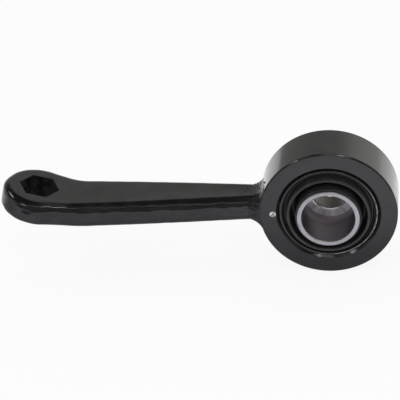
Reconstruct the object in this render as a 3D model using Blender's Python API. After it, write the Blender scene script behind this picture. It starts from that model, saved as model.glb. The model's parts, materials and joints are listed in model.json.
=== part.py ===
"""Sway bar link of a heavy vehicle, in metres.

A flat forged arm with a hexagon-holed eye is welded to a turned ring, and the ring holds a pressed-in rubber bush
with a bare steel inner sleeve. The origin is the centre of the bush. The bush's axis is Y, with the front at -Y,
the arm runs along -X, and Z is normal to the arm's broad faces.
"""

import math

import bmesh
import bpy
import numpy as np
from mathutils import Matrix, Vector

# Running clearance between pieces that touch on the real link
SEAT_GAP = 0.0003

# Inner sleeve of the bush: a counterbore from the front, then the bolt's hole
SLEEVE_BOLT_HOLE_RADIUS = 0.0122
SLEEVE_COUNTERBORE_RADIUS = 0.0187
SLEEVE_COUNTERBORE_DEPTH = 0.0335
SLEEVE_SHOULDER_CHAMFER = 0.0012
SLEEVE_WALL = 0.0033
SLEEVE_OUTER_RADIUS = SLEEVE_COUNTERBORE_RADIUS + SLEEVE_WALL
SLEEVE_FRONT_OVERHANG = 0.007
SLEEVE_REAR_OVERHANG = 0.009
SLEEVE_EDGE_CHAMFER = 0.0004

# Rubber between the sleeve and the shell
RUBBER_THICKNESS = 0.0099
RUBBER_RIDGE_HEIGHT = 0.0033
RUBBER_RIDGE_THICKNESS = 0.0024
RUBBER_FILM = 0.0008
RUBBER_FILM_SHORT_OF_SLEEVE = 0.0014
RUBBER_INNER_GROOVE = 0.0039
RUBBER_INNER_GROOVE_DEPTH = 0.0105
RUBBER_OUTER_VALLEY_DEPTH = 0.0045

# Outer shell of the bush, pressed into the ring
SHELL_WALL = 0.0022
SHELL_RECESS = 0.0005
SHELL_LIP_RADIUS = 0.0009
BUSH_SEGMENTS = 64

# Ring: a thick turned tube, bored to take the bush
RING_BORE_RADIUS = SLEEVE_OUTER_RADIUS + RUBBER_THICKNESS + SHELL_WALL + 3 * SEAT_GAP
RING_WALL = 0.0133
RING_OUTER_RADIUS = RING_BORE_RADIUS + RING_WALL
RING_WIDTH = 0.034
RING_EDGE_CHAMFER = 0.0008
RING_BORE_CHAMFER = 0.0014
RING_SEGMENTS = 88

# Drilled spot in the ring's front face, beside the bore mouth on the arm's side
DRILL_POINT_ANGLE = math.radians(118.0)
DRILL_SPOT_RADIUS = 0.0024
DRILL_SPOT_FROM_BORE = 0.0041
DRILL_SPOT_SEGMENTS = 16

# Arm: a flat forging with an eye
ARM_THICKNESS = 0.0185
ARM_EDGE_RADIUS = 0.0058
ARM_ROOT_WIDTH = 0.0246
ARM_NECK_WIDTH = 0.0392
ARM_TAPER_LENGTH = 0.1237
ARM_NECK_DISTANCE = RING_OUTER_RADIUS + ARM_TAPER_LENGTH
ARM_SIDE_BOW = 0.0007
EYE_BEYOND_NECK = 0.0355
EYE_DISTANCE = ARM_NECK_DISTANCE + EYE_BEYOND_NECK
EYE_RADIUS = 0.0256
EYE_TILT = math.radians(12.0)
BEND_BEYOND_NECK = 0.0005
BEND_START = ARM_NECK_DISTANCE + BEND_BEYOND_NECK
BEND_LENGTH = 0.014
HEX_ACROSS_FLATS = 0.025
HEX_TURN = math.radians(4.7)
EDGE_STEPS = 4

# Weld bead round the arm's root
WELD_LEG_ON_ARM = 0.0085
WELD_LEG_UP_RING = 0.009
WELD_LEG_ACROSS_RING = 0.0045
WELD_TOE = 0.001
WELD_HOLLOW = 0.0009
WELD_STATIONS = 48


def make_material(name, colour, roughness, metallic):
    """A Principled BSDF of one colour."""
    material = bpy.data.materials.new(name)
    material.use_nodes = True
    shader = material.node_tree.nodes["Principled BSDF"]
    shader.inputs["Base Color"].default_value = (*colour, 1.0)
    shader.inputs["Roughness"].default_value = roughness
    shader.inputs["Metallic"].default_value = metallic
    material.diffuse_color = (*colour, 1.0)
    return material


def add_piece(name, bm, material):
    """Closes a bmesh's seams, turns its faces outward and makes it a smooth-shaded object."""
    bmesh.ops.remove_doubles(bm, verts=bm.verts, dist=1e-6)
    bmesh.ops.recalc_face_normals(bm, faces=bm.faces)
    mesh = bpy.data.meshes.new(name)
    bm.to_mesh(mesh)
    bm.free()
    mesh.shade_smooth()
    mesh.set_sharp_from_angle(angle=math.radians(35.0))
    piece = bpy.data.objects.new(name, mesh)
    bpy.context.scene.collection.objects.link(piece)
    if material is not None:
        mesh.materials.append(material)
    return piece


def cut(piece, cutter):
    """Takes the cutter's shape out of the piece and keeps the cutter as a hidden guide."""
    cutter.hide_render = True
    cutter.display_type = "WIRE"
    cutter.parent = piece
    boolean = piece.modifiers.new("cut " + cutter.name, "BOOLEAN")
    boolean.operation = "DIFFERENCE"
    boolean.solver = "EXACT"
    boolean.object = cutter


def arc(centre, radius, start, end, steps):
    """Points (axial, radius) along an arc, from one angle in degrees to another."""
    angles = np.radians(np.linspace(start, end, steps + 1))
    return [(centre[0] + radius * math.cos(a), centre[1] + radius * math.sin(a)) for a in angles]


def turned(name, profile, segments, material):
    """A closed profile of (axial, radius) points spun once round the Y axis."""
    bm = bmesh.new()
    corners = [bm.verts.new((radius, axial, 0.0)) for axial, radius in profile]
    outline = [bm.edges.new(pair) for pair in zip(corners, corners[1:] + corners[:1])]
    bmesh.ops.spin(
        bm,
        geom=corners + outline,
        cent=(0, 0, 0),
        axis=(0, 1, 0),
        angle=2 * math.pi,
        steps=segments,
        use_merge=True,
    )
    return add_piece(name, bm, material)


def mirrored(front_half):
    """A front half profile, from the inner side round to the outer one, and its mirror image behind Y = 0."""
    rear_half = [(-axial, radius) for axial, radius in reversed(front_half)]
    return front_half + rear_half


def sleeve_end(overhang):
    """How far one end of the inner sleeve lies from the ring's middle."""
    return RING_WIDTH / 2 + overhang


def ring_profile():
    """Half section of the ring: chamfered bore mouths and chamfered outer edges."""
    face = RING_WIDTH / 2
    front = [
        (-face + RING_BORE_CHAMFER, RING_BORE_RADIUS),
        (-face, RING_BORE_RADIUS + RING_BORE_CHAMFER),
        (-face, RING_OUTER_RADIUS - RING_EDGE_CHAMFER),
        (-face + RING_EDGE_CHAMFER, RING_OUTER_RADIUS),
    ]
    return mirrored(front)


def shell_profile():
    """Half section of the bush's outer sleeve, with rounded ends just inside the ring's faces."""
    outer = RING_BORE_RADIUS - SEAT_GAP
    inner = outer - SHELL_WALL
    end = RING_WIDTH / 2 - SHELL_RECESS
    lip = SHELL_LIP_RADIUS
    front = arc((-end + lip, inner + lip), lip, 270, 180, 3)
    front += arc((-end + lip, outer - lip), lip, 180, 90, 3)
    return mirrored(front)


def rubber_end(sign, overhang):
    """One end of the rubber's section: a film along the sleeve, a deep groove, a raised lip and a valley."""
    inner = SLEEVE_OUTER_RADIUS + SEAT_GAP
    outer = inner + RUBBER_THICKNESS
    face = RING_WIDTH / 2
    film_end = sleeve_end(overhang) - RUBBER_FILM_SHORT_OF_SLEEVE
    groove_radius = RUBBER_INNER_GROOVE / 2
    ridge_radius = RUBBER_RIDGE_THICKNESS / 2
    groove = (-face + RUBBER_INNER_GROOVE_DEPTH - groove_radius, inner + RUBBER_FILM + groove_radius)
    ridge = (-face - RUBBER_RIDGE_HEIGHT + ridge_radius, groove[1] + groove_radius + ridge_radius)
    valley_radius = (outer - RUBBER_FILM / 2 - ridge[1] - ridge_radius) / 2
    valley = (
        -face + RUBBER_OUTER_VALLEY_DEPTH - valley_radius,
        ridge[1] + ridge_radius + valley_radius,
    )
    section = [(-film_end, inner), (-film_end, inner + RUBBER_FILM / 2)]
    section += [(-film_end + RUBBER_FILM / 2, inner + RUBBER_FILM)]
    section += arc(groove, groove_radius, -90, 90, 4)
    section += arc(ridge, ridge_radius, 270, 90, 5)
    section += arc(valley, valley_radius, -90, 90, 4)
    section += [(-face + 2 * SHELL_LIP_RADIUS, outer - RUBBER_FILM / 2)]
    section += [(-face + 3 * SHELL_LIP_RADIUS, outer)]
    return [(-sign * axial, radius) for axial, radius in section]


def rubber_profile():
    """Section of the rubber, alike at both ends but for the sleeve's longer rear."""
    front = rubber_end(-1, SLEEVE_FRONT_OVERHANG)
    rear = rubber_end(1, SLEEVE_REAR_OVERHANG)
    return front + rear[::-1]


def sleeve_profile():
    """Section of the inner sleeve: a counterbore from the front, a flat shoulder, then the bolt's hole."""
    front_end = -sleeve_end(SLEEVE_FRONT_OVERHANG)
    rear_end = sleeve_end(SLEEVE_REAR_OVERHANG)
    shoulder = front_end + SLEEVE_COUNTERBORE_DEPTH
    edge = SLEEVE_EDGE_CHAMFER
    return [
        (front_end + edge, SLEEVE_COUNTERBORE_RADIUS),
        (front_end, SLEEVE_COUNTERBORE_RADIUS + edge),
        (front_end, SLEEVE_OUTER_RADIUS - edge),
        (front_end + edge, SLEEVE_OUTER_RADIUS),
        (rear_end - edge, SLEEVE_OUTER_RADIUS),
        (rear_end, SLEEVE_OUTER_RADIUS - edge),
        (rear_end, SLEEVE_BOLT_HOLE_RADIUS + edge),
        (rear_end - edge, SLEEVE_BOLT_HOLE_RADIUS),
        (shoulder + SLEEVE_SHOULDER_CHAMFER, SLEEVE_BOLT_HOLE_RADIUS),
        (shoulder, SLEEVE_BOLT_HOLE_RADIUS + SLEEVE_SHOULDER_CHAMFER),
        (shoulder, SLEEVE_COUNTERBORE_RADIUS),
    ]


def arm_outline():
    """Plan of the arm's back edge as (distance from the ring's centre, half width, direction of the normal).

    It is a tapered edge with a slight bow, a concave neck that is tangent to it, and the round end of the eye.
    """
    half_root = ARM_ROOT_WIDTH / 2
    half_neck = ARM_NECK_WIDTH / 2
    slope = (half_neck - half_root) / ARM_TAPER_LENGTH
    bow = 4 * ARM_SIDE_BOW / ARM_TAPER_LENGTH
    taper = math.atan(slope - bow)
    # The neck's arc touches the straight edge at the neck and the eye's circle from outside.
    along = EYE_BEYOND_NECK * math.sin(taper) + half_neck * math.cos(taper)
    neck_radius = (EYE_BEYOND_NECK**2 + half_neck**2 - EYE_RADIUS**2) / (2 * (EYE_RADIUS - along))
    neck_centre = (
        ARM_NECK_DISTANCE - neck_radius * math.sin(taper),
        half_neck + neck_radius * math.cos(taper),
    )
    meets_eye = math.atan2(neck_centre[1], EYE_DISTANCE - neck_centre[0])

    points = []
    buried = 2 * ARM_EDGE_RADIUS / ARM_TAPER_LENGTH
    for share in np.linspace(-buried, 1.0, 13)[:-1]:
        half_width = half_root + share * (half_neck - half_root) + 4 * ARM_SIDE_BOW * share * (1 - share)
        edge_slope = slope + bow * (1 - 2 * share)
        points.append((RING_OUTER_RADIUS + share * ARM_TAPER_LENGTH, half_width, math.pi / 2 + math.atan(edge_slope)))
    for normal in np.linspace(taper, math.pi / 2 - meets_eye, 8)[:-1]:
        distance = neck_centre[0] + neck_radius * math.sin(normal)
        points.append((distance, neck_centre[1] - neck_radius * math.cos(normal), math.pi / 2 + normal))
    for normal in np.linspace(math.pi - meets_eye, 0.0, 17):
        distance = EYE_DISTANCE + EYE_RADIUS * math.cos(normal)
        points.append((distance, EYE_RADIUS * math.sin(normal), normal))
    return points


def bent(distance, side, height):
    """A point of the flat arm after the arm is bent upward before the eye, about an axis along Y."""
    turned_length = min(max(distance - BEND_START, 0.0), BEND_LENGTH)
    angle = EYE_TILT * turned_length / BEND_LENGTH
    bend_radius = BEND_LENGTH / EYE_TILT
    x = min(distance, BEND_START) + bend_radius * math.sin(angle)
    z = bend_radius * (1 - math.cos(angle))
    beyond = max(distance - BEND_START - BEND_LENGTH, 0.0)
    x += beyond * math.cos(angle)
    z += beyond * math.sin(angle)
    return Vector((-(x - height * math.sin(angle)), side, z + height * math.cos(angle)))


def edge_profile(grow):
    """The forging's rounded edge as (outward, height) points from its top face to its bottom face."""
    flat = ARM_THICKNESS / 2 - ARM_EDGE_RADIUS
    radius = ARM_EDGE_RADIUS + grow
    top = [(radius * math.cos(a), flat + radius * math.sin(a)) for a in np.linspace(math.pi / 2, 0, EDGE_STEPS + 1)]
    bottom = [(outward, -height) for outward, height in reversed(top)]
    return top + bottom


def forged_bar(name, outline, grow, material):
    """Carries the rounded edge round an outline and closes the broad faces between its two sides."""
    edge = edge_profile(grow)
    bm = bmesh.new()
    loops = []
    for distance, half_width, normal in outline:
        inner_distance = distance - ARM_EDGE_RADIUS * math.cos(normal)
        inner_half_width = half_width - ARM_EDGE_RADIUS * math.sin(normal)
        back = []
        front = []
        for outward, height in edge:
            along = inner_distance + outward * math.cos(normal)
            side = inner_half_width + outward * math.sin(normal)
            back.append(bm.verts.new(bent(along, side, height)))
            front.append(bm.verts.new(bent(along, -side, height)))
        loops.append(back + front[::-1])
    bm.faces.new(loops[0])
    for loop, following in zip(loops, loops[1:]):
        for i, corner in enumerate(loop):
            j = (i + 1) % len(loop)
            bm.faces.new((corner, loop[j], following[j], following[i]))
    closing = loops[-1]
    half = len(closing) // 2
    for i in range(half - 1):
        bm.faces.new((closing[i], closing[i + 1], closing[-2 - i], closing[-1 - i]))
    bmesh.ops.remove_doubles(bm, verts=bm.verts, dist=1e-6)
    return add_piece(name, bm, material)


def add_cylinder(name, radius, length, segments, place):
    """A plain cylinder or prism, its axis along its own Z, put in place by a matrix."""
    bm = bmesh.new()
    bmesh.ops.create_cone(
        bm,
        cap_ends=True,
        segments=segments,
        radius1=radius,
        radius2=radius,
        depth=length,
        matrix=place,
    )
    return add_piece(name, bm, None)


def build_arm(material):
    """The forging, with its hexagonal hole and its root cut to the ring."""
    arm = forged_bar("arm", arm_outline(), 0.0, material)

    eye = bent(EYE_DISTANCE, 0.0, 0.0)
    corner_radius = HEX_ACROSS_FLATS / 2 / math.cos(math.pi / 6)
    on_the_eye = Matrix.Translation(eye) @ Matrix.Rotation(EYE_TILT, 4, "Y")
    hexagon = add_cylinder(
        "hexagon_cutter",
        corner_radius,
        2 * ARM_THICKNESS,
        6,
        on_the_eye @ Matrix.Rotation(math.pi / 6 - HEX_TURN, 4, "Z"),
    )
    cut(arm, hexagon)
    cut(arm, ring_cutter("arm_saddle_cutter"))
    return arm


def ring_cutter(name):
    """The ring's outer surface with the seat gap, wide enough to cut across whatever meets it."""
    across = Matrix.Rotation(math.pi / 2, 4, "X")
    radius = (RING_OUTER_RADIUS + SEAT_GAP) / math.cos(math.pi / RING_SEGMENTS)
    return add_cylinder(name, radius, 2 * RING_WIDTH, RING_SEGMENTS, across)


def build_ring(material):
    """The turned ring with its drilled spot, a cone with the drill's point angle."""
    ring = turned("ring", ring_profile(), RING_SEGMENTS, material)
    point_depth = DRILL_SPOT_RADIUS / math.tan(DRILL_POINT_ANGLE / 2)
    centre = Vector((-RING_BORE_RADIUS - DRILL_SPOT_FROM_BORE, -RING_WIDTH / 2, 0.0))
    bm = bmesh.new()
    bmesh.ops.create_cone(
        bm,
        cap_ends=True,
        segments=DRILL_SPOT_SEGMENTS,
        radius1=0.0,
        radius2=2 * DRILL_SPOT_RADIUS,
        depth=2 * point_depth,
        matrix=Matrix.Translation(centre) @ Matrix.Rotation(math.pi / 2, 4, "X"),
    )
    cut(ring, add_piece("drill_spot_cutter", bm, None))
    return ring


def weld_section(turn):
    """The point of the arm's root section at one angle round its axis, and that point's outward direction.

    The section is a rectangle with rounded corners, so its point is the inner rectangle's corner or side plus
    the rounding radius along the normal.
    """
    inner_side = ARM_ROOT_WIDTH / 2 - ARM_EDGE_RADIUS
    inner_height = ARM_THICKNESS / 2 - ARM_EDGE_RADIUS
    reach = ARM_EDGE_RADIUS
    lengths = [2 * inner_height, math.pi / 2 * reach, 2 * inner_side, math.pi / 2 * reach]
    travel = turn * 2 * sum(lengths)
    quarter, start = 0, 0.0
    while travel - start > lengths[quarter % 4] and quarter < 7:
        start += lengths[quarter % 4]
        quarter += 1
    on = travel - start
    corners = [(1, -1), (1, 1), (1, 1), (-1, 1), (-1, 1), (-1, -1), (-1, -1), (1, -1)]
    corner = Vector((corners[quarter][0] * inner_side, corners[quarter][1] * inner_height))
    facing = (quarter // 2) * math.pi / 2
    if quarter % 2:
        angle = facing + on / reach
        return corner, Vector((math.cos(angle), math.sin(angle)))
    along = Vector((-math.sin(facing), math.cos(facing)))
    return corner + along * on, Vector((math.cos(facing), math.sin(facing)))


def build_weld(material):
    """The fillet bead: a ring of triangular sections with a hollowed face, cut to the ring and clear of the arm."""
    bm = bmesh.new()
    loops = []
    into_arm = -ARM_EDGE_RADIUS / 4
    for turn in np.linspace(0.0, 1.0, WELD_STATIONS, endpoint=False):
        corner, outward = weld_section(turn)
        height = corner.y + ARM_EDGE_RADIUS * outward.y
        touch = math.sqrt(RING_OUTER_RADIUS**2 - height**2)
        inside = touch - ARM_EDGE_RADIUS / 2
        leg_on_ring = WELD_LEG_ACROSS_RING + (WELD_LEG_UP_RING - WELD_LEG_ACROSS_RING) * outward.y**2
        toe_height = corner.y + (ARM_EDGE_RADIUS + leg_on_ring) * outward.y
        toe_on_ring = math.sqrt(RING_OUTER_RADIUS**2 - toe_height**2)
        section = [
            (inside, into_arm),
            (touch + WELD_LEG_ON_ARM, into_arm),
            (touch + WELD_LEG_ON_ARM, WELD_TOE),
        ]
        for share in (0.25, 0.5, 0.75):
            hollow = WELD_HOLLOW * math.sin(math.pi * share)
            section.append(
                (
                    touch + WELD_LEG_ON_ARM + share * (toe_on_ring - touch - WELD_LEG_ON_ARM) - hollow,
                    share * leg_on_ring - hollow,
                )
            )
        section += [(toe_on_ring, leg_on_ring), (inside, leg_on_ring)]
        loop = []
        for distance, leg in section:
            point = corner + outward * (ARM_EDGE_RADIUS + leg)
            loop.append(bm.verts.new((-distance, point.x, point.y)))
        loops.append(loop)
    for loop, following in zip(loops, loops[1:] + loops[:1]):
        for i, vert in enumerate(loop):
            j = (i + 1) % len(loop)
            bm.faces.new((vert, loop[j], following[j], following[i]))
    weld = add_piece("weld_bead", bm, material)
    cut(weld, ring_cutter("weld_saddle_cutter"))
    cut(weld, forged_bar("weld_arm_cutter", arm_outline(), SEAT_GAP, None))
    return weld


def main():
    for leftover in list(bpy.data.objects):
        bpy.data.objects.remove(leftover)

    black_paint = make_material("black_paint", (0.012, 0.012, 0.013), 0.32, 0.0)
    rubber = make_material("bush_rubber", (0.022, 0.022, 0.023), 0.55, 0.0)
    bare_steel = make_material("bare_steel", (0.52, 0.51, 0.53), 0.38, 1.0)

    build_arm(black_paint)
    build_ring(black_paint)
    build_weld(black_paint)
    turned("bush_outer_shell", shell_profile(), BUSH_SEGMENTS, black_paint)
    turned("bush_rubber", rubber_profile(), BUSH_SEGMENTS, rubber)
    turned("inner_sleeve", sleeve_profile(), BUSH_SEGMENTS, bare_steel)


main()
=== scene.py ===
"""Sway bar link of a heavy vehicle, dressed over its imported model.

The frame of every piece is the model's own, in metres: the origin is the centre of the bush, the bush's
axis is Y with its front at -Y, the arm runs along -X, and Z is normal to the arm's broad faces.
"""

import json
import math

import bmesh
import bpy
import numpy as np
from mathutils import Matrix

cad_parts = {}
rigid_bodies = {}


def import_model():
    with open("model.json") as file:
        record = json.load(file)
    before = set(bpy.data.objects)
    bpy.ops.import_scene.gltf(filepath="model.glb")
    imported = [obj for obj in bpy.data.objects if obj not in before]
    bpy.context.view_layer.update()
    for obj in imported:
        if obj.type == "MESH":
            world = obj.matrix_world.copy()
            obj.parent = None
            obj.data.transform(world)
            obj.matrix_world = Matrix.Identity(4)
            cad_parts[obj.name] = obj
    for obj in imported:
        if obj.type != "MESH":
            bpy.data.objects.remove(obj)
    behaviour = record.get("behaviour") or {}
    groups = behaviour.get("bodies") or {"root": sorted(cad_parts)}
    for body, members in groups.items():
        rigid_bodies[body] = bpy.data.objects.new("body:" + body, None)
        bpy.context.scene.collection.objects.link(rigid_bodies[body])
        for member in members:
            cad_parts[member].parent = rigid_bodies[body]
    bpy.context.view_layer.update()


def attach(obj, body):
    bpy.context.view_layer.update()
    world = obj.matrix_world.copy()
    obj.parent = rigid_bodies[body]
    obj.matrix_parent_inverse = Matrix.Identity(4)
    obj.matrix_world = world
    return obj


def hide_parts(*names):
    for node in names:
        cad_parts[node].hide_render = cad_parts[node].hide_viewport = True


for leftover in list(bpy.data.objects):
    bpy.data.objects.remove(leftover)

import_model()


# Arm
# A flat bar of forged steel: it tapers to the ring, its long edges are well rounded, and its round eye is
# bent up by 12 degrees and punched through with a hexagon. It is cut to the ring, welded to it and sprayed
# glossy black.

RING_RADIUS = 0.0483
RING_HALF_WIDTH = 0.017
ARM_HALF_THICKNESS = 0.00925
ARM_EDGE_RADIUS = 0.0058
ARM_HALF_ROOT = 0.0123
ARM_HALF_NECK = 0.0196
ARM_NECK_AT = 0.172
ARM_SIDE_BOW = 0.0007
EYE_AT = 0.2075
EYE_RADIUS = 0.0256
EYE_TILT = math.radians(12.0)
BEND_FROM = 0.1725
BEND_LENGTH = 0.014
HEXAGON_HALF_FLATS = 0.0125
HEXAGON_TURN = 4.7
HEXAGON_LIP = 0.00015
TRIM_WAVES = 0.00009
DIE_WEAR = 0.0016
WEAR_FROM, WEAR_LENGTH = 0.15, 0.09
FACE_DISH = 0.0002
TRIM_FADE = 0.004
ROOT_SLIDE_FROM, ROOT_SLIDE_LENGTH = 0.062, 0.014
SIDE_POINTS, NECK_POINTS, EYE_POINTS = 90, 38, 160
EYE_STATIONS_FROM = 0.188


def skin(name, *grids):
    """One mesh from grids of points, each rows by columns by 3.

    The cells of a grid are its faces. Grid edges that lie on each other are sewn together, cells that have
    shrunk to a line go, and the faces are turned to point out of the closed form.
    """
    points, faces, before = [], [], 0
    for grid in grids:
        rows, columns = grid.shape[:2]
        index = before + np.arange(rows * columns).reshape(rows, columns)
        corners = [index[:-1, :-1], index[1:, :-1], index[1:, 1:], index[:-1, 1:]]
        faces.append(np.stack(corners, axis=-1).reshape(-1, 4))
        points.append(grid.reshape(-1, 3))
        before += rows * columns
    mesh = bpy.data.meshes.new(name)
    mesh.from_pydata(np.concatenate(points).tolist(), [], np.concatenate(faces).tolist())
    bm = bmesh.new()
    bm.from_mesh(mesh)
    bmesh.ops.remove_doubles(bm, verts=bm.verts, dist=2e-6)
    bmesh.ops.recalc_face_normals(bm, faces=bm.faces)
    bm.to_mesh(mesh)
    bm.free()
    mesh.shade_smooth()
    piece = bpy.data.objects.new(name, mesh)
    bpy.context.scene.collection.objects.link(piece)
    return piece


def bent(distance, side, height):
    """The flat arm's points after its bend: straight, then a circular arc of 12 degrees, then straight."""
    along_bend = np.clip(distance - BEND_FROM, 0.0, BEND_LENGTH)
    angle = EYE_TILT * along_bend / BEND_LENGTH
    radius = BEND_LENGTH / EYE_TILT
    beyond = np.maximum(distance - BEND_FROM - BEND_LENGTH, 0.0)
    x = np.minimum(distance, BEND_FROM) + radius * np.sin(angle) + beyond * np.cos(angle)
    z = radius * (1 - np.cos(angle)) + beyond * np.sin(angle)
    return np.stack([-(x - height * np.sin(angle)), side + 0 * x, z + height * np.cos(angle)], axis=-1)


def hexagon(angle, grow):
    """Distance from the eye's centre to the hexagon's side, by angle in degrees from the tip to the back.

    A side is a straight line, so the distance is the half width over flats, divided by the cosine of the
    angle that is left to the middle of that side.
    """
    from_middle = (angle - HEXAGON_TURN) % 60.0 - 30.0
    return (HEXAGON_HALF_FLATS + grow) / np.cos(np.radians(from_middle))


def arm_edge():
    """Half of the arm's plan, root to tip: distance, half width and direction of the outward normal.

    The side is a straight taper with a slight bow. A concave arc tangent to it runs into the eye's circle.
    """
    length = ARM_NECK_AT - RING_RADIUS
    slope = (ARM_HALF_NECK - ARM_HALF_ROOT) / length
    bow = 4 * ARM_SIDE_BOW / length
    taper = math.atan(slope - bow)
    share = np.linspace(0.0, 1.0, SIDE_POINTS)
    side = ARM_HALF_ROOT + share * (ARM_HALF_NECK - ARM_HALF_ROOT) + 4 * ARM_SIDE_BOW * share * (1 - share)
    facing = math.pi / 2 + np.arctan(slope + bow * (1 - 2 * share))
    rows = [np.stack([RING_RADIUS + share * length, side, facing])]
    run = EYE_AT - ARM_NECK_AT
    along = run * math.sin(taper) + ARM_HALF_NECK * math.cos(taper)
    hollow = (run**2 + ARM_HALF_NECK**2 - EYE_RADIUS**2) / (2 * (EYE_RADIUS - along))
    centre = (ARM_NECK_AT - hollow * math.sin(taper), ARM_HALF_NECK + hollow * math.cos(taper))
    meets = math.atan2(centre[1], EYE_AT - centre[0])
    turn = np.linspace(taper, math.pi / 2 - meets, NECK_POINTS + 2)[1:-1]
    distance, side = centre[0] + hollow * np.sin(turn), centre[1] - hollow * np.cos(turn)
    rows.append(np.stack([distance, side, math.pi / 2 + turn]))
    turn = np.linspace(math.pi - meets, 0.0, EYE_POINTS)
    rows.append(np.stack([EYE_AT + EYE_RADIUS * np.cos(turn), EYE_RADIUS * np.sin(turn), turn]))
    return np.concatenate(rows, axis=1)


# Both sides in one run: up the back edge from the root, round the eye, and down the front edge.
half = arm_edge()
distance = np.concatenate([half[0], half[0, -2::-1]])
side = np.concatenate([half[1], -half[1, -2::-1]])
normal = np.concatenate([half[2], -half[2, -2::-1]])
travel = np.concatenate([[0.0], np.cumsum(np.hypot(np.diff(distance), np.diff(side)))])

# The stations of the eye are shared out by the angle round the hexagon, with one on each of its corners.
before_eye = SIDE_POINTS + NECK_POINTS
eye_start = np.interp(EYE_STATIONS_FROM, half[0, :before_eye], travel[:before_eye])
eye_travel = travel[-1] - 2 * eye_start
corner_angles = HEXAGON_TURN + np.array([60.0, 120.0, 0.0, -60.0, -120.0, -180.0])
hexagon_angle = np.unique(np.concatenate([np.linspace(-180.0, 180.0, 217), corner_angles]))[::-1]
eye_stations = eye_start + eye_travel * (180.0 - hexagon_angle) / 360.0
straight = eye_start * np.linspace(0.0, 1.0, 131)[:-1] ** 1.05
stations = np.concatenate([straight, eye_stations, travel[-1] - straight[::-1]])
distance, side, normal = (np.interp(stations, travel, values) for values in (distance, side, normal))

# Toward the root the dies wore: the front rounding runs further in, and the faces are slightly dished.
toward_root = np.clip((WEAR_FROM - distance) / WEAR_LENGTH, 0.0, 1.0)
reach_in = ARM_EDGE_RADIUS + DIE_WEAR * toward_root * (side < 0)
inner_distance = distance - reach_in * np.cos(normal)
inner_side = side - reach_in * np.sin(normal)

# The line that the broad faces run in to: the middle of the arm, then the rim of the hexagon.
rim = hexagon(hexagon_angle, HEXAGON_LIP)
rim_distance = EYE_AT + rim * np.cos(np.radians(hexagon_angle))
rim_side = rim * np.sin(np.radians(hexagon_angle))
blend_from = 0.160
run_in = np.clip((inner_distance[: len(straight)] - blend_from) / (EYE_STATIONS_FROM - blend_from), 0.0, 1.0)
middle = inner_distance[: len(straight)] + run_in * (rim_distance[0] - EYE_STATIONS_FROM)
core_distance = np.concatenate([middle, rim_distance, middle[::-1]])
core_side = np.concatenate([0 * middle, rim_side, 0 * middle])


def at_root(points):
    """Slides the points near the root along the arm, so that the arm ends on the ring's cylinder.

    The slide is the ring's radius less its half chord at the point's height, and it fades out along the arm.
    """
    reach = RING_RADIUS - np.sqrt(RING_RADIUS**2 - points[..., 2] ** 2)
    fade = np.clip((ROOT_SLIDE_FROM + points[..., 0]) / ROOT_SLIDE_LENGTH, 0.0, 1.0)
    points[..., 0] += reach * fade
    return points


across = np.array([0.0, 0.012, 0.05, 0.14, 0.3, 0.5, 0.7, 0.86, 0.95, 0.988, 1.0])[None, :]
face_distance = inner_distance[:, None] + across * (core_distance - inner_distance)[:, None]
face_side = inner_side[:, None] + across * (core_side - inner_side)[:, None]
face_height = ARM_HALF_THICKNESS - FACE_DISH * toward_root[:, None] * (1 - (1 - across) ** 2)
upper_face = at_root(bent(face_distance, face_side, face_height))
lower_face = at_root(bent(face_distance, face_side, -face_height))

# Trimming the flash and dressing the edges by hand leaves them wavy: a sum of waves that run every way.
flat = ARM_HALF_THICKNESS - ARM_EDGE_RADIUS
turn = np.linspace(math.pi / 2, 0.0, 19)
outward = np.cos(np.concatenate([turn, np.zeros(7), turn[::-1]]))
corner_height = flat + ARM_EDGE_RADIUS * np.sin(turn)
height = np.concatenate([corner_height, flat * np.linspace(1.0, -1.0, 9)[1:-1], -corner_height[::-1]])
girth = np.append(0.0, np.cumsum(np.hypot(np.diff(ARM_EDGE_RADIUS * outward), np.diff(height))))
fade = np.clip(np.minimum(girth, girth[-1] - girth) / TRIM_FADE, 0.0, 1.0)
along = stations[:, None]
rng = np.random.default_rng(3)
per_along, per_girth, phase = (rng.uniform(*ends, 11) for ends in ((120, 800), (-1100, 1100), (0, 6.28)))
waves = np.sin(along[..., None] * per_along + girth[..., None] * per_girth + phase).sum(axis=-1) / 3.0
outward = reach_in[:, None] * outward + TRIM_WAVES * fade * (waves - 0.5)
edge_distance = inner_distance[:, None] + outward * np.cos(normal)[:, None]
edge_side = inner_side[:, None] + outward * np.sin(normal)[:, None]
edge = at_root(bent(edge_distance, edge_side, height[None, :] + 0 * edge_distance))

# The hexagon's wall, with a small rounded lip at each mouth.
turn = np.linspace(0.0, math.pi / 2, 6)
wall_grow = HEXAGON_LIP * (1 - np.sin(turn))
wall_height = ARM_HALF_THICKNESS - HEXAGON_LIP * (1 - np.cos(turn))
wall_grow = np.concatenate([wall_grow, [0.0, 0.0], wall_grow[::-1]])
wall_height = np.concatenate([wall_height, [0.008, -0.008], -wall_height[::-1]])
reach = hexagon(hexagon_angle[:, None], wall_grow[None, :])
toward = np.radians(hexagon_angle)[:, None]
wall = bent(EYE_AT + reach * np.cos(toward), reach * np.sin(toward), wall_height[None, :] + 0 * reach)

# The end that is cut to the ring, closed in rows between the two sides.
share = across[0][:, None]
back_end = edge[0][None] * (1 - share[..., None]) + edge[0][None] * [1, 0, 1] * share[..., None]
front_end = back_end * [1, -1, 1]

arm = skin("forged_arm", upper_face, lower_face, edge, wall, back_end, front_end)

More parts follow.
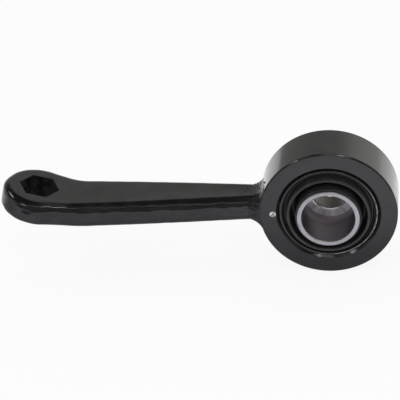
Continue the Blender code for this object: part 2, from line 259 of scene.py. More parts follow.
# The faces of the hexagon's wall are those whose middles lie on the hexagon, to within 0.03 mm.
centres = np.array([polygon.center[:] for polygon in arm.data.polygons])
eye_centre = bent(np.array(EYE_AT), np.array(0.0), np.array(0.0))
tip = np.array([-math.cos(EYE_TILT), 0.0, math.sin(EYE_TILT)])
toward_tip, toward_back = (centres - eye_centre) @ tip, centres[:, 1]
from_eye = np.hypot(toward_tip, toward_back)
on_wall = from_eye < hexagon(np.degrees(np.arctan2(toward_back, toward_tip)), 0.00003)
arm.data.polygons.foreach_set("material_index", on_wall.astype(np.int32))


class Shade:
    """A socket in a material's nodes. Python's operators on it add Math nodes, and node() adds any other."""

    def __init__(self, tree, socket=None):
        self.tree, self.socket = tree, socket

    def node(self, kind, settings=None, inputs=None, output=0):
        """Adds a node of this type: its settings first, then a value or a link for each of its sockets."""
        made = self.tree.nodes.new(kind)
        for setting, value in (settings or {}).items():
            if setting == "stops":
                for stop, (place, colour) in zip(made.color_ramp.elements, value):
                    stop.position, stop.color = place, (*colour, 1.0)
            else:
                setattr(made, setting, value)
        for name, value in (inputs or {}).items():
            if isinstance(value, Shade):
                self.tree.links.new(value.socket, made.inputs[name])
            else:
                made.inputs[name].default_value = value
        return Shade(self.tree, made.outputs[output])

    def maths(self, operation, *values):
        """Adds a Math node for this operation on these values."""
        return self.node("ShaderNodeMath", {"operation": operation}, dict(enumerate(values)))

    def __add__(self, other):
        return self.maths("ADD", self, other)

    def __sub__(self, other):
        return self.maths("SUBTRACT", self, other)

    def __rsub__(self, other):
        return self.maths("SUBTRACT", other, self)

    def __mul__(self, other):
        return self.maths("MULTIPLY", self, other)

    def __truediv__(self, other):
        return self.maths("DIVIDE", self, other)

    def __pow__(self, other):
        return self.maths("POWER", self, other)

    __radd__ = __add__
    __rmul__ = __mul__

    def smooth(self, low, high):
        """0 below low and 1 above high, with a soft step between them."""
        settings = {"interpolation_type": "SMOOTHSTEP"}
        return self.node("ShaderNodeMapRange", settings, {"Value": self, "From Min": low, "From Max": high})

    def mixed(self, first, second):
        """The first colour where this is 0, and the second where it is 1."""
        first, second = (one if isinstance(one, Shade) else (*one, 1.0) for one in (first, second))
        return self.node("ShaderNodeMix", {"data_type": "RGBA"}, {0: self, 6: first, 7: second}, output=2)

    def x_y_z(self):
        """The three numbers of these coordinates."""
        return (self.node("ShaderNodeSeparateXYZ", {}, {0: self}, output=axis) for axis in range(3))

    def combined(self, x, y, z):
        """Coordinates made of three numbers, in this shade's own nodes."""
        return self.node("ShaderNodeCombineXYZ", {}, {0: x, 1: y, 2: z})

    def noise(self, size, detail=2.0, roughness=0.5):
        """Noise from 0 to 1 whose features are about this many metres across, at these coordinates."""
        sockets = {"Vector": self, "Scale": 1.0 / size, "Detail": detail, "Roughness": roughness}
        return self.node("ShaderNodeTexNoise", {}, sockets)

    def bump(self, height, depth, under=None):
        """The normal of a surface on which this height, from 0 to 1, stands for a depth in metres."""
        sockets = {"Height": height, "Distance": depth, "Strength": 1.0}
        if under is not None:
            sockets["Normal"] = under
        return self.node("ShaderNodeBump", {}, sockets)


def finish(name, colour, roughness, metallic=0.0, coat=0.0):
    """A material's Principled BSDF, and the Object coordinates that its patterns are worked out from."""
    material = bpy.data.materials.new(name)
    material.use_nodes = True
    shader = material.node_tree.nodes["Principled BSDF"]
    shader.inputs["Base Color"].default_value = (*colour, 1.0)
    shader.inputs["Roughness"].default_value = roughness
    shader.inputs["Metallic"].default_value = metallic
    shader.inputs["Coat Weight"].default_value = coat
    place = Shade(material.node_tree).node("ShaderNodeTexCoord", output="Object")
    return material, shader, place


def connect(shader, **values):
    """Links shade values to the sockets of the same names, with spaces for underscores."""
    for name, value in values.items():
        value.tree.links.new(value.socket, shader.inputs[name.replace("_", " ").title()])


PAINT_BLACK = (0.0075, 0.0075, 0.0078)
PAINT_DUSTY = (0.014, 0.014, 0.0143)


def painted(place, size, low, high):
    """Black paint that is dustier in soft patches of this size, where their noise runs from low to high."""
    return place.noise(size, 4.0, 0.6).smooth(low, high).mixed(PAINT_BLACK, PAINT_DUSTY)


# Paint over a forging: long soft waves from the dies, the shot-blasted skin and the orange peel.
forged_paint, shader, place = finish("forged_black_paint", PAINT_BLACK, 0.2)
dies = place.noise(0.030, 1.0)
skin_grain = place.noise(0.0016, 3.0, 0.6)
orange_peel = place.noise(0.0042, 1.5)
under = place.bump(dies, 0.0009)
under = place.bump(orange_peel, 0.00002, under)
connect(
    shader,
    base_color=painted(place, 0.012, 0.35, 0.75),
    roughness=0.11 + 0.10 * place.noise(0.008, 3.0),
    normal=place.bump(skin_grain, 0.000012, under),
)
arm.data.materials.append(forged_paint)

# The hexagon is punched after forging: its torn wall takes the paint thin and dull.
punched_paint, shader, place = finish("punched_black_paint", (0.0085, 0.0085, 0.0088), 0.75)
shader.inputs["Specular IOR Level"].default_value = 0.12
torn = place.noise(0.0014, 3.0, 0.6)
bare_patches = place.noise(0.007, 2.0).smooth(0.35, 0.65)
connect(
    shader,
    base_color=bare_patches.mixed((0.003, 0.003, 0.003), (0.020, 0.019, 0.019)),
    normal=place.bump(torn, 0.00010),
)
arm.data.materials.append(punched_paint)
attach(arm, "link")
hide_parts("arm")


# Ring
# A thick tube of steel, turned on its faces and bore, with small chamfers at its edges. One spot is drilled
# into the front face beside the bore after painting, so its cone is bare steel.

BORE_RADIUS = 0.035
SPOT_PLACE = (-0.0391, -0.0002)
SPOT_RADIUS = 0.0024
SPOT_SLOPE = math.tan(math.radians(59.0))
SPOT_EASED = 0.00008
MOUTH_CHAMFER = 0.0014
FRONT_MOUTH_DEPTH, FRONT_MOUTH_WIDTH = 0.0016, 0.0018
EDGE_CHAMFER_DEPTH, EDGE_CHAMFER_WIDTH = 0.00074, 0.0009
EASED_CORNER = 0.0002


def softened(corners, radius, arc_steps, sides):
    """Points round a closed outline whose corners are eased by a curve that starts this far from each corner.

    Each corner is the quadratic curve from one side to the next, and each side gets points at the given
    shares of what is left of it. sides holds one array of shares for each side, from the first corner on.
    """
    corners = np.asarray(corners, float)
    before, after = np.roll(corners, 1, axis=0), np.roll(corners, -1, axis=0)
    start = corners + radius * (before - corners) / np.linalg.norm(before - corners, axis=1, keepdims=True)
    end = corners + radius * (after - corners) / np.linalg.norm(after - corners, axis=1, keepdims=True)
    t = np.linspace(0.0, 1.0, arc_steps + 1)[None, :, None]
    arcs = (1 - t) ** 2 * start[:, None] + 2 * t * (1 - t) * corners[:, None] + t**2 * end[:, None]
    following = np.roll(start, -1, axis=0)
    rows = []
    for arc, leave, arrive, shares in zip(arcs, end, following, sides):
        rows += [arc, leave + np.asarray(shares)[:, None] * (arrive - leave)]
    return np.concatenate([*rows, arcs[0][:1]])


def turned(profile, angle):
    """A grid of points: the profile's (axial, radius) rows carried round the bush's axis."""
    axial, radius = profile[:, 0][:, None], profile[:, 1][:, None]
    x, z = radius * np.cos(angle)[None, :], radius * np.sin(angle)[None, :]
    return np.stack([x, axial + 0 * x, z], axis=-1)


def full_turn(steps):
    """Angles all the way round in equal steps, with the last one lying on the first."""
    return np.linspace(0.0, 2 * math.pi, steps + 1)


few = [0.03, 0.5, 0.97]
many = np.concatenate([[0.005], np.linspace(0.02, 0.98, 45), [0.995]])
front, rear = -RING_HALF_WIDTH, RING_HALF_WIDTH
ring_corners = [
    (front + FRONT_MOUTH_DEPTH, BORE_RADIUS),
    (front, BORE_RADIUS + FRONT_MOUTH_WIDTH),
    (front, RING_RADIUS - EDGE_CHAMFER_WIDTH),
    (front + EDGE_CHAMFER_DEPTH, RING_RADIUS),
    (rear - EDGE_CHAMFER_DEPTH, RING_RADIUS),
    (rear, RING_RADIUS - EDGE_CHAMFER_WIDTH),
    (rear, BORE_RADIUS + MOUTH_CHAMFER),
    (rear - MOUTH_CHAMFER, BORE_RADIUS),
]
profile = softened(ring_corners, EASED_CORNER, 5, [few, many, few, few, few, few, few, few])
# The spot has closer steps round the ring.
near_spot = np.linspace(math.radians(175.5), math.radians(185.1), 61)
around = np.unique(np.concatenate([full_turn(288), near_spot]))
ring_points = turned(profile, around)

# The drilled cone: as deep as the distance in from its rim, over the tangent of the drill's half angle,
# with the rim eased.
from_spot = np.hypot(ring_points[..., 0] - SPOT_PLACE[0], ring_points[..., 2] - SPOT_PLACE[1])
cone = (SPOT_RADIUS - from_spot) / SPOT_SLOPE
cone = 0.5 * (cone + np.sqrt(cone**2 + SPOT_EASED**2)) * (from_spot < 0.004)
ring_points[..., 1] += cone * (ring_points[..., 1] < front + 0.0001)
ring = skin("turned_ring", ring_points)


def round_axis(place):
    """These coordinates' x, y and z, and their distance from the bush's axis by the rule of Pythagoras."""
    x, y, z = place.x_y_z()
    return x, y, z, (x * x + z * z) ** 0.5


ring_paint, shader, place = finish("turned_black_paint", PAINT_BLACK, 0.24)
x_place, y_place, z_place, radius = round_axis(place)
to_spot = ((x_place - SPOT_PLACE[0]) ** 2.0 + (z_place - SPOT_PLACE[1]) ** 2.0) ** 0.5
bare = (1.0 - to_spot.smooth(SPOT_RADIUS - 0.0004, SPOT_RADIUS)) * (1.0 - y_place.smooth(-0.012, -0.011))
past_centre = to_spot.smooth(0.0003, 0.0009)
tool_marks = place.combined(radius, y_place, 0.0).noise(0.0007, 2.0)
under = place.bump(place.noise(0.022, 1.0), 0.00006)
under = place.bump(place.noise(0.0040, 1.5), 0.000014, under)
under = place.bump(tool_marks, 0.000006, under)
dusty = painted(place, 0.010, 0.35, 0.75)
connect(
    shader,
    base_color=bare.mixed(dusty, past_centre.mixed((0.45, 0.45, 0.46), (0.90, 0.90, 0.91))),
    metallic=bare,
    roughness=0.13 + 0.09 * place.noise(0.007, 3.0) + 0.26 * bare,
    normal=place.bump(place.noise(0.0012, 3.0, 0.6), 0.000006, under),
)
ring.data.materials.append(ring_paint)
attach(ring, "link")
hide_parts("ring")


# Weld bead
# One fillet run of arc weld round the arm's root, laid in overlapping ripples and painted over with the
# rest. Its toes melt into the arm and the ring, and a few spatter beads stay on the arm beside it.

BEAD_ON_ARM = 0.0085
BEAD_UP_RING = 0.0095
BEAD_UP_RING_TOP = 0.0062
BEAD_ACROSS_RING = 0.0047
BEAD_HOLLOW = 0.8
BEAD_HOLLOW_FRONT = 0.3
BEAD_SUNK = 0.0001
TOE_WIDER, TOE_SUNK = 0.0006, 0.0002
FRONT_FACING, FRONT_SPREAD = 195.0, 32.0
START_FACING, START_SPREAD = 145.0, 28.0
RIPPLE_PITCH = 0.0017
RIPPLE_HEIGHT, SEAM_HEIGHT = 0.00003, 0.00006
WANDER_HEIGHT, LUMP_HEIGHT, GRAIN_HEIGHT = 0.00025, 0.00045, 0.00014
SPATTER_COUNT = 34
SPATTER_AT_START = 16
START_SHARE, START_SHARE_SPREAD = 0.375, 0.035
SPATTER_ON_BEAD = [[-0.0447, -0.0043, 0.0184], [-0.0502, 0.0012, 0.0118]]


def root_section(share):
    """The arm's root section, a rectangle with rounded corners: side, height, normal and travel by share."""
    turn = np.linspace(0.0, math.pi / 2, 25)
    quarter = np.arange(4)[:, None] * math.pi / 2
    facing = (turn[None, :] + quarter).ravel()
    corner_side = np.repeat([1.0, -1.0, -1.0, 1.0], len(turn)) * (ARM_HALF_ROOT - ARM_EDGE_RADIUS)
    corner_height = np.repeat([1.0, 1.0, -1.0, -1.0], len(turn)) * (ARM_HALF_THICKNESS - ARM_EDGE_RADIUS)
    facing = np.append(facing, 2 * math.pi)
    corner_side = np.append(corner_side, corner_side[0])
    corner_height = np.append(corner_height, corner_height[0])
    outline_side = corner_side + ARM_EDGE_RADIUS * np.cos(facing)
    outline_height = corner_height + ARM_EDGE_RADIUS * np.sin(facing)
    length = np.append(0.0, np.cumsum(np.hypot(np.diff(outline_side), np.diff(outline_height))))
    want = share * length[-1]
    found = [np.interp(want, length, values) for values in (outline_side, outline_height, facing)]
    return *found, want


def on_ring(across, up):
    """The ring's own distance from its centre at these places: its cylinder, then the chamfer at its edge."""
    past_chamfer = np.maximum(np.abs(across) - (RING_HALF_WIDTH - 0.0008), 0.0)
    return np.sqrt(RING_RADIUS**2 - up**2) - past_chamfer


def bell(value, middle, spread):
    """1 at the middle, and less to both sides: e to the power of minus the square of distance over spread."""
    return np.exp(-(((value - middle) / spread) ** 2))


rng = np.random.default_rng(7)
share = np.linspace(0.0, 1.0, 441)[:, None]
over = np.linspace(0.0, 1.0, 49)[None, :]
root_side, root_height, facing, along_weld = root_section(share)
sideways, upward = np.cos(facing), np.sin(facing)
on_top = np.where(upward > 0, BEAD_UP_RING_TOP, BEAD_UP_RING)
leg = BEAD_ACROSS_RING + (on_top - BEAD_ACROSS_RING) * np.abs(upward) ** 1.5
# A fillet from toe to toe: part straight, part a quarter ellipse tangent to the arm and to the ring.
quarter = 0.5 * math.pi * over
in_front = bell(np.degrees(facing), FRONT_FACING, FRONT_SPREAD)
hollow = BEAD_HOLLOW + (BEAD_HOLLOW_FRONT - BEAD_HOLLOW) * in_front
climb = (1 - hollow) * over + hollow * (1 - np.cos(quarter))
remain = (1 - hollow) * (1 - over) + hollow * (1 - np.sin(quarter))
# Ripples and seams all round, and where the run started, at the front upper corner, a lumpy patch.
ripple = np.sin(2 * math.pi * (along_weld / RIPPLE_PITCH + 1.1 * (over - 0.5) ** 2))
wander = np.sin(along_weld * 410.0 + 1.3) * np.sin(along_weld * 973.0)
at_start = bell(np.degrees(facing), START_FACING, START_SPREAD)
seams = np.sin(34.0 * over) * np.sin(along_weld * 160.0 + 0.6)
lumps = np.sin(1500.0 * along_weld + 13.0 * over) * np.sin(900.0 * along_weld - 17.0 * over + 1.0)
grains = np.sin(3900.0 * along_weld + 41.0 * over) * np.sin(2700.0 * along_weld - 47.0 * over + 2.0)
rough = RIPPLE_HEIGHT * ripple + SEAM_HEIGHT * seams
rough = rough + at_start * (WANDER_HEIGHT * wander + LUMP_HEIGHT * lumps + GRAIN_HEIGHT * grains)
rough = rough * np.sin(math.pi * over) ** 0.7
bead_leg = leg * climb + rough
bead_side, bead_height = root_side + bead_leg * sideways, root_height + bead_leg * upward
wider = TOE_WIDER * np.abs(sideways) * (1 - over)
bead_side, bead_height = bead_side + wider * sideways, bead_height - TOE_SUNK * (1 - over) * upward
bead_x = on_ring(bead_side, bead_height) + BEAD_ON_ARM * remain + rough - BEAD_SUNK
touch = on_ring(root_side, root_height)
# Behind the visible face the bead closes inside the arm and the ring.
hidden_leg = np.concatenate([leg - 0.0015, -0.0025 + 0 * leg, -0.0025 + 0 * leg], axis=1)
hidden_x = np.concatenate([bead_x[:, -1:] - 0.0015, touch - 0.0025, touch + BEAD_ON_ARM - 0.003], axis=1)
bead_side = np.concatenate([bead_side, root_side + hidden_leg * sideways, bead_side[:, :1]], axis=1)
bead_height = np.concatenate([bead_height, root_height + hidden_leg * upward, bead_height[:, :1]], axis=1)
bead_x = np.concatenate([bead_x, hidden_x, bead_x[:, :1]], axis=1)
bead = np.stack([-bead_x, bead_side, bead_height], axis=-1)
weld = skin("ripple_weld", bead)

# Spatter: half-sunk drops on the arm's skin, thickest by the bead's toe and where the run started.
drop_share = rng.uniform(0.0, 1.0, SPATTER_COUNT)
drop_share[:SPATTER_AT_START] = rng.normal(START_SHARE, START_SHARE_SPREAD, SPATTER_AT_START) % 1.0
drop_side, drop_height, drop_facing, _ = root_section(drop_share)
drop_reach = RING_RADIUS + BEAD_ON_ARM - 0.001 + rng.exponential(0.0030, SPATTER_COUNT)
drop_radius = rng.uniform(0.00025, 0.00055, SPATTER_COUNT)
drop_radius[:SPATTER_AT_START] *= 1.3
up, turn = np.meshgrid(np.linspace(-math.pi / 2, math.pi / 2, 7), full_turn(9), indexing="ij")
ball = np.stack([np.cos(up) * np.cos(turn), np.cos(up) * np.sin(turn), 0.7 * np.sin(up)], axis=-1)
growth = (drop_reach - RING_RADIUS) * 0.075
centre_side = drop_side + growth * np.cos(drop_facing)
drop_centre = np.stack([-drop_reach, centre_side, drop_height], axis=-1)
drop_centre = np.append(drop_centre, SPATTER_ON_BEAD, axis=0)
drop_radius = np.append(drop_radius, [0.0009, 0.0006])
drops = drop_centre[:, None, None, :] + drop_radius[:, None, None, None] * ball[None]
spatter = skin("weld_spatter", *drops)

weld_paint, shader, place = finish("weld_black_paint", PAINT_BLACK, 0.24)
scale = place.noise(0.0022, 4.0, 0.65)
under = place.bump(scale, 0.00012)
connect(
    shader,
    base_color=painted(place, 0.005, 0.4, 0.8),
    roughness=0.08 + 0.10 * place.noise(0.004, 3.0),
    normal=place.bump(place.noise(0.0007, 2.0), 0.00002, under),
)
for piece in (weld, spatter):
    piece.data.materials.append(weld_paint)
    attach(piece, "link")
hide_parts("weld_bead")


# Bush outer shell
# A thin drawn steel sleeve whose ends are rolled round. It is pressed into the ring, just below its faces,
# and painted over together with it.

SHELL_OUTER = 0.0347
SHELL_INNER = 0.0325
SHELL_RECESS = 0.0005
SHELL_LIP = 0.00102
CREST_FROM, CREST_TO = 0.0336, 0.0343
shell_end = RING_HALF_WIDTH - SHELL_RECESS
shell_corners = [
    (-shell_end, SHELL_INNER),
    (-shell_end, SHELL_OUTER),
    (shell_end, SHELL_OUTER),
    (shell_end, SHELL_INNER),
]
profile = softened(shell_corners, SHELL_LIP, 10, [[0.5], few, [0.5], few])
shell = skin("rolled_shell", turned(profile, full_turn(240)))

shell_paint, shader, place = finish("shell_black_paint", (0.014, 0.014, 0.0145), 0.2)
under = place.bump(place.noise(0.006, 2.0), 0.00005)
x_place, y_place, z_place, radius = round_axis(place)
# Bare steel where paint rubbed off the lip's crest; low on the side away from the arm it is a painted
# highlight.
painted_highlight_side = (0.8 * x_place - 0.6 * z_place).smooth(0.0, 0.03)
crest = radius.smooth(CREST_FROM, CREST_FROM + 0.0002) * (1.0 - radius.smooth(CREST_TO - 0.0003, CREST_TO))
crest = crest * (1.0 - y_place.smooth(0.0003 - shell_end, 0.0007 - shell_end))
worn_and_painted_highlight = crest * (0.05 + 0.80 * painted_highlight_side) * place.noise(0.003, 3.0).smooth(0.30, 0.65)
connect(
    shader,
    base_color=worn_and_painted_highlight.mixed((0.010, 0.010, 0.0104), (0.55, 0.55, 0.56)),
    metallic=worn_and_painted_highlight,
    roughness=0.16 + 0.14 * place.noise(0.006, 3.0) + 0.15 * worn_and_painted_highlight,
    normal=place.bump(place.noise(0.0009, 2.0), 0.000008, under),
)
shell.data.materials.append(shell_paint)
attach(shell, "link")
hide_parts("bush_outer_shell")


# Bush rubber
# Rubber moulded and bonded between the two sleeves: a thin film runs out along the inner one, and between a
# deep groove and a shallow valley stands a round lip. Two small vent nibs are left from the mould.

SLEEVE_RADIUS = 0.022
SLEEVE_FRONT, SLEEVE_REAR = 0.024, 0.026
RUBBER_INNER = SLEEVE_RADIUS + 0.0003
RUBBER_OUTER = RUBBER_INNER + 0.0099
FILM, FILM_SHORT_OF_SLEEVE = 0.0008, 0.0014
GROOVE_DEPTH, GROOVE_RADIUS = 0.0105, 0.00195
LIP_HEIGHT, LIP_RADIUS = 0.0033, 0.0012
VALLEY_DEPTH = 0.0045
BRIM_DEPTH = 0.0019
FILM_EASED = 0.0006
NIB_HEIGHT, NIB_RADIUS = 0.0009, 0.0006
NIB_PLACES = ((105.0, 0.0300), (4.0, 0.0249))


def arc(centre, radius, start, end, steps):
    """Points (axial, radius) on a circle, from one angle in degrees to the other."""
    turn = np.radians(np.linspace(start, end, steps + 1))
    return np.stack([centre[0] + radius * np.cos(turn), centre[1] + radius * np.sin(turn)], axis=-1)


def rubber_end(sleeve_end):
    """One end of the section, with out of the bush as -axial: film, groove, lip and valley, all tangent."""
    edge = FILM / 2
    film_end = -sleeve_end + FILM_SHORT_OF_SLEEVE
    groove = (-RING_HALF_WIDTH + GROOVE_DEPTH - GROOVE_RADIUS, RUBBER_INNER + FILM + GROOVE_RADIUS)
    lip = (-RING_HALF_WIDTH - LIP_HEIGHT + LIP_RADIUS, groove[1] + GROOVE_RADIUS + LIP_RADIUS)
    valley_radius = (RUBBER_OUTER - edge - lip[1] - LIP_RADIUS) / 2
    valley = (-RING_HALF_WIDTH + VALLEY_DEPTH - valley_radius, lip[1] + LIP_RADIUS + valley_radius)
    film = arc((film_end + edge, RUBBER_INNER + edge), edge, 180, 90, 6)
    brim = arc((-RING_HALF_WIDTH + BRIM_DEPTH, RUBBER_OUTER - edge), edge, 180, 90, 5)
    parts = [np.array([[film_end, RUBBER_INNER]]), film]
    parts += [np.array([[film_end + FILM_EASED, film[-1, 1]], [groove[0] - FILM_EASED, film[-1, 1]]])]
    parts += [arc(groove, GROOVE_RADIUS, -90, 90, 20), arc(lip, LIP_RADIUS, 270, 90, 18)]
    parts += [arc(valley, valley_radius, -90, 90, 12), brim]
    return np.concatenate(parts)


front_section = rubber_end(SLEEVE_FRONT)
rear_section = rubber_end(SLEEVE_REAR)[::-1] * [-1, 1]
profile = np.concatenate([front_section, rear_section, front_section[:1]])
rubber_points = turned(profile, full_turn(256))
for nib_turn, nib_from_axis in NIB_PLACES:
    nib_x = nib_from_axis * math.cos(math.radians(nib_turn))
    nib_z = nib_from_axis * math.sin(math.radians(nib_turn))
    away = np.hypot(rubber_points[..., 0] - nib_x, rubber_points[..., 2] - nib_z)
    rubber_points[..., 1] -= NIB_HEIGHT * bell(away, 0.0, NIB_RADIUS) * (rubber_points[..., 1] < 0)
rubber = skin("moulded_rubber", rubber_points)

rubber_black, shader, place = finish("bush_rubber", (0.020, 0.020, 0.021), 0.42)
bloom = place.noise(0.009, 4.0, 0.6).smooth(0.4, 0.8)
under = place.bump(place.noise(0.0035, 2.0), 0.00006)
connect(
    shader,
    base_color=bloom.mixed((0.024, 0.024, 0.0245), (0.046, 0.046, 0.047)),
    roughness=0.34 + 0.18 * place.noise(0.005, 3.0),
    normal=place.bump(place.noise(0.0006, 2.0), 0.00001, under),
)
rubber.data.materials.append(rubber_black)
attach(rubber, "link")
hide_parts("bush_rubber")


# Inner sleeve
# A thick steel sleeve turned from bar and left bare: a counterbore from the front, a flat shoulder, and the
# bolt's hole with a chamfered mouth. It carries fine rings from the lathe tool.

COUNTERBORE = 0.0187
BOLT_HOLE = 0.0122
EDGE_BREAK = 0.0004
COUNTERBORE_DEPTH = 0.0335
SHOULDER_AT = -SLEEVE_FRONT + COUNTERBORE_DEPTH
HOLE_MOUTH = ((0.0014, 0.0), (0.0008, 0.0002), (0.0002, 0.0008), (0.0, 0.0014))
sleeve_corners = [
    (-SLEEVE_FRONT, COUNTERBORE + EDGE_BREAK),
    (-SLEEVE_FRONT, SLEEVE_RADIUS - EDGE_BREAK),
    (-SLEEVE_FRONT + EDGE_BREAK, SLEEVE_RADIUS),
    (SLEEVE_REAR - EDGE_BREAK, SLEEVE_RADIUS),
    (SLEEVE_REAR, SLEEVE_RADIUS - EDGE_BREAK),
    (SLEEVE_REAR, BOLT_HOLE + EDGE_BREAK),
    (SLEEVE_REAR - EDGE_BREAK, BOLT_HOLE),
    *((SHOULDER_AT + deep, BOLT_HOLE + wide) for deep, wide in HOLE_MOUTH),
    (SHOULDER_AT, COUNTERBORE),
    (-SLEEVE_FRONT + EDGE_BREAK, COUNTERBORE),
]
profile = softened(sleeve_corners, 0.00015, 4, [few] * len(sleeve_corners))
sleeve = skin("turned_sleeve", turned(profile, full_turn(288)))

sleeve_steel, shader, place = finish("turned_bare_steel", (0.56, 0.545, 0.565), 0.32, metallic=1.0)
x_place, y_place, z_place, radius = round_axis(place)
lathe = place.combined(radius, y_place, 0.0)
feed_marks = lathe.noise(0.00035, 3.0, 0.7)
stain = place.noise(0.006, 4.0, 0.6).smooth(0.45, 0.85)
# The faces and the chamfers are bright; the counterbore's wall is darker near its mouth.
in_counterbore = 1.0 - radius.smooth(COUNTERBORE + 0.00002, COUNTERBORE + 0.00008)
in_counterbore = in_counterbore * (1.0 - y_place.smooth(SHOULDER_AT - 0.0007, SHOULDER_AT - 0.0001))
in_counterbore = in_counterbore * y_place.smooth(-SLEEVE_FRONT + EDGE_BREAK, -SLEEVE_FRONT + 0.0012)
in_hole = 1.0 - radius.smooth(BOLT_HOLE + 0.00002, BOLT_HOLE + 0.00012)
in_hole = in_hole * y_place.smooth(SHOULDER_AT + 0.0009, SHOULDER_AT + 0.0013)
on_shoulder = 1.0 - radius.smooth(COUNTERBORE - 0.0001, COUNTERBORE - 0.00004)
on_shoulder = on_shoulder * y_place.smooth(SHOULDER_AT - 0.0007, SHOULDER_AT - 0.0003) * (1.0 - in_hole)
on_shoulder = on_shoulder * (1.0 - y_place.smooth(SHOULDER_AT + 0.0017, SHOULDER_AT + 0.0023))
in_bores = in_counterbore + in_hole
faces = stain.mixed((0.42, 0.41, 0.425), (0.34, 0.33, 0.335))
wall_tone = place.noise(0.010, 3.0).mixed((0.085, 0.077, 0.086), (0.14, 0.128, 0.140))
# Painted light: the counterbore's wall is lighter deeper in and low down, and nearly white high up.
deep = y_place.smooth(-0.006, 0.008)
low, high = (-1.0 * z_place).smooth(0.008, 0.017), z_place.smooth(0.008, 0.014)
walls_with_painted_light_and_shade = deep.maths("MAXIMUM", deep, 0.3 * low).mixed(wall_tone, (0.56, 0.51, 0.55))
# The bolt hole's wall is a dark tan, which is painted shade.
walls_with_painted_light_and_shade = in_hole.mixed(high.mixed(walls_with_painted_light_and_shade, (0.90, 0.88, 0.90)), (0.135, 0.125, 0.112))
# The facing cut chattered on the shoulder, round the axis, and left the hole's mouth bright.
at_mouth = (1.0 - radius.smooth(BOLT_HOLE + 0.0012, BOLT_HOLE + 0.0014)) * on_shoulder
chatter = place.combined(x_place / radius, z_place / radius, 8.0 * radius).noise(0.45, 2.0, 0.6)
chatter = at_mouth.maths("MAXIMUM", chatter.smooth(0.35, 0.65), at_mouth)
shoulder = chatter.mixed((0.55, 0.50, 0.56), (0.97, 0.95, 0.98))
connect(
    shader,
    base_color=on_shoulder.mixed(in_bores.mixed(faces, walls_with_painted_light_and_shade), shoulder),
    metallic=1.0 - 0.7 * on_shoulder + 0.6 * at_mouth,
    roughness=0.34 + 0.12 * lathe.noise(0.0012, 3.0) + 0.08 * stain + 0.12 * in_bores - 0.22 * at_mouth,
    normal=place.bump(feed_marks, 0.000010),
)
sleeve.data.materials.append(sleeve_steel)
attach(sleeve, "sleeve")
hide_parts("inner_sleeve")


# Studio
# A pale floor in a plain white room, with three long strip lamps above the camera and two softboxes on the
# left. In reflections the floor is darker near the link and in front of it, as black paint shows it in the
# photograph.

FLOOR_AT, FLOOR_REACH = -0.0484, 1.6
SOFT_LIGHT = 0.75


def rays(tree):
    """1 where the asking ray comes from the camera, where from a gloss, and where from a gloss or a glass."""
    kinds = ("Is Camera Ray", "Is Glossy Ray", "Is Transmission Ray")
    camera, gloss, through = (Shade(tree).node("ShaderNodeLightPath", output=kind) for kind in kinds)
    return camera, gloss, gloss.maths("MAXIMUM", gloss, through)


floor_line = np.linspace(-FLOOR_REACH, FLOOR_REACH, 3)
floor_x, floor_y = np.meshgrid(floor_line, floor_line, indexing="ij")
floor_points = np.stack([floor_x, floor_y, 0 * floor_x + FLOOR_AT], axis=-1)
floor = skin("pale_floor", floor_points[:, ::-1])
pale, shader, place = finish("pale_floor", (0.9, 0.9, 0.9), 0.9)
tree = pale.node_tree
camera_ray, gloss_ray, mirrored = rays(tree)
x_place, y_place, _ = place.x_y_z()
at_ring = x_place.smooth(-0.10, -0.02)
near = (y_place + 0.07 * at_ring).smooth(-0.165, -0.115)
# Painted shadow: in reflections the floor's glow is dimmer close in front of the link, most of all in front
# of the arm.
shade = 1.0 - 0.7 * y_place.smooth(-0.13, 0.0)
in_front = 0.15 + near * ((0.83 + 0.37 * at_ring) * shade)
seen_in_gloss = in_front + y_place.smooth(0.03, 0.12) * (1.4 - in_front)
seen = camera_ray.maths("MAXIMUM", camera_ray, mirrored)
strength = gloss_ray * (seen_in_gloss - 1.0) + 1.0
cool = (gloss_ray * (1.0 - y_place.smooth(0.0, 0.1))).mixed((1.0, 1.0, 1.0), (1.0, 0.965, 1.04))
# The camera sees a tenth of the lit floor, which keeps the link's shadow on it.
lit = Shade(tree, shader.outputs[0])
glow = place.node("ShaderNodeEmission", {}, {"Color": cool, "Strength": strength})
surface = place.node("ShaderNodeMixShader", {}, {0: seen * (0.90 + 0.10 * gloss_ray), 1: lit, 2: glow})
tree.links.new(surface.socket, tree.nodes["Material Output"].inputs["Surface"])
floor.data.materials.append(pale)

# The room: white to the camera, an even grey for soft light, and in reflections a pale wall up to head
# height with a dark ceiling over it.
world = bpy.data.worlds.new("studio")
bpy.context.scene.world = world
world.use_nodes = True
tree = world.node_tree
direction = Shade(tree).node("ShaderNodeTexCoord", output="Generated")
camera_ray, _, mirrored = rays(tree)
x_way, y_way, z_way = direction.x_y_z()
behind = (y_way + 0.35 * x_way).smooth(-0.45, 0.1)
right_wall = x_way.smooth(-0.1, 0.25) * (1.0 - z_way.smooth(0.40, 0.50))
wall = 0.35 + 0.20 * x_way.smooth(-0.8, -0.3) + 0.5 * right_wall
wall = wall * (1.0 - (z_way - 0.6 * x_way).smooth(0.56, 0.88))
overhead = z_way.smooth(0.60, 0.75) * (1.0 - z_way.smooth(0.88, 0.96))
overhead = overhead * (1.0 - (x_way * x_way).smooth(0.01, 0.06))
front_wall = 0.20 * (1.0 - z_way.smooth(0.45, 0.60)) + 0.3 * overhead
window = (1.0 - x_way.smooth(-0.85, -0.65)) * y_way.smooth(-0.65, -0.45) * (1.0 - z_way.smooth(0.26, 0.40))
in_gloss = front_wall + behind * (wall - front_wall) + 0.55 * window
strength = SOFT_LIGHT + mirrored * (in_gloss - SOFT_LIGHT)
strength = strength + camera_ray * (1.0 - strength)
background = tree.nodes["Background"]
warm = mirrored.mixed((1.0, 1.0, 1.0), (1.0, 0.985, 0.955))
tree.links.new(warm.socket, background.inputs["Color"])
tree.links.new(strength.socket, background.inputs["Strength"])


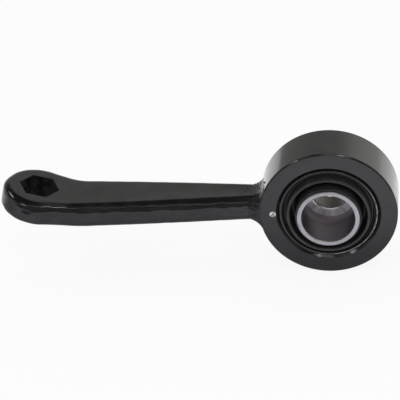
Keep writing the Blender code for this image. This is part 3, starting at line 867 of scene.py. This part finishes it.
def softbox(name, place, aim, width, height, radiance):
    """A rectangular lamp at a place, facing a point, whose face is this bright."""
    lamp = bpy.data.lights.new(name, "AREA")
    lamp.shape = "RECTANGLE"
    lamp.size, lamp.size_y = width, height
    lamp.energy = radiance * math.pi * width * height
    holder = bpy.data.objects.new(name, lamp)
    back = np.asarray(place, float) - np.asarray(aim, float)
    back /= np.linalg.norm(back)
    right = np.cross([0.0, 0.0, 1.0], back)
    right /= np.linalg.norm(right)
    up = np.cross(back, right)
    matrix = np.eye(4)
    matrix[:3, 0], matrix[:3, 1], matrix[:3, 2], matrix[:3, 3] = right, up, back, place
    holder.matrix_world = Matrix(matrix.tolist())
    bpy.context.scene.collection.objects.link(holder)


softbox("strip_lamp", (0.08, -0.66, 0.76), (0, 0, 0), 0.45, 0.03, 5.0)
softbox("front_right_lamp", (0.31, -0.59, 0.74), (-0.2, 0, 0), 0.30, 0.05, 14.0)
softbox("far_strip_lamp", (-0.42, -0.68, 0.73), (-0.1, 0, 0), 0.50, 0.03, 2.5)
softbox("front_left_lamp", (-0.65, -0.65, 0.60), (-0.2, 0, 0), 0.12, 0.10, 9.0)
softbox("left_lamp", (-0.88, 0.16, 0.68), (-0.2, 0, 0), 0.26, 0.16, 5.0)

# Camera
# It stands 1.76 m away, in front of the bush and above it, with a long lens. Its turns and its shift were
# fitted to the photograph's perspective.

CAMERA_TURN, CAMERA_DOWN, CAMERA_ROLL = -0.119762125, 0.552900435, 0.0733038286
CAMERA_SHIFT = np.array([1.89728748, 0.0134491593, 36.6394187]) * 0.048
turn_s, turn_c = math.sin(CAMERA_TURN), math.cos(CAMERA_TURN)
down_s, down_c = math.sin(CAMERA_DOWN), math.cos(CAMERA_DOWN)
ahead = np.array([turn_s * down_c, turn_c * down_c, -down_s])
right = np.array([turn_c, -turn_s, 0.0])
down = np.cross(ahead, right)
rolled_right = math.cos(CAMERA_ROLL) * right + math.sin(CAMERA_ROLL) * down
rolled_down = math.cos(CAMERA_ROLL) * down - math.sin(CAMERA_ROLL) * right
matrix = np.eye(4)
matrix[:3, 0], matrix[:3, 1], matrix[:3, 2] = rolled_right, -rolled_down, -ahead
matrix[:3, 3] = -np.stack([rolled_right, rolled_down, ahead]).T @ CAMERA_SHIFT
lens = bpy.data.cameras.new("camera")
lens.lens = 225.0
lens.sensor_width = 36.0
lens.clip_end = 20.0
camera = bpy.data.objects.new("camera", lens)
camera.matrix_world = Matrix(matrix.tolist())
bpy.context.scene.collection.objects.link(camera)
bpy.context.scene.camera = camera
bpy.context.scene.view_settings.view_transform = "Standard"
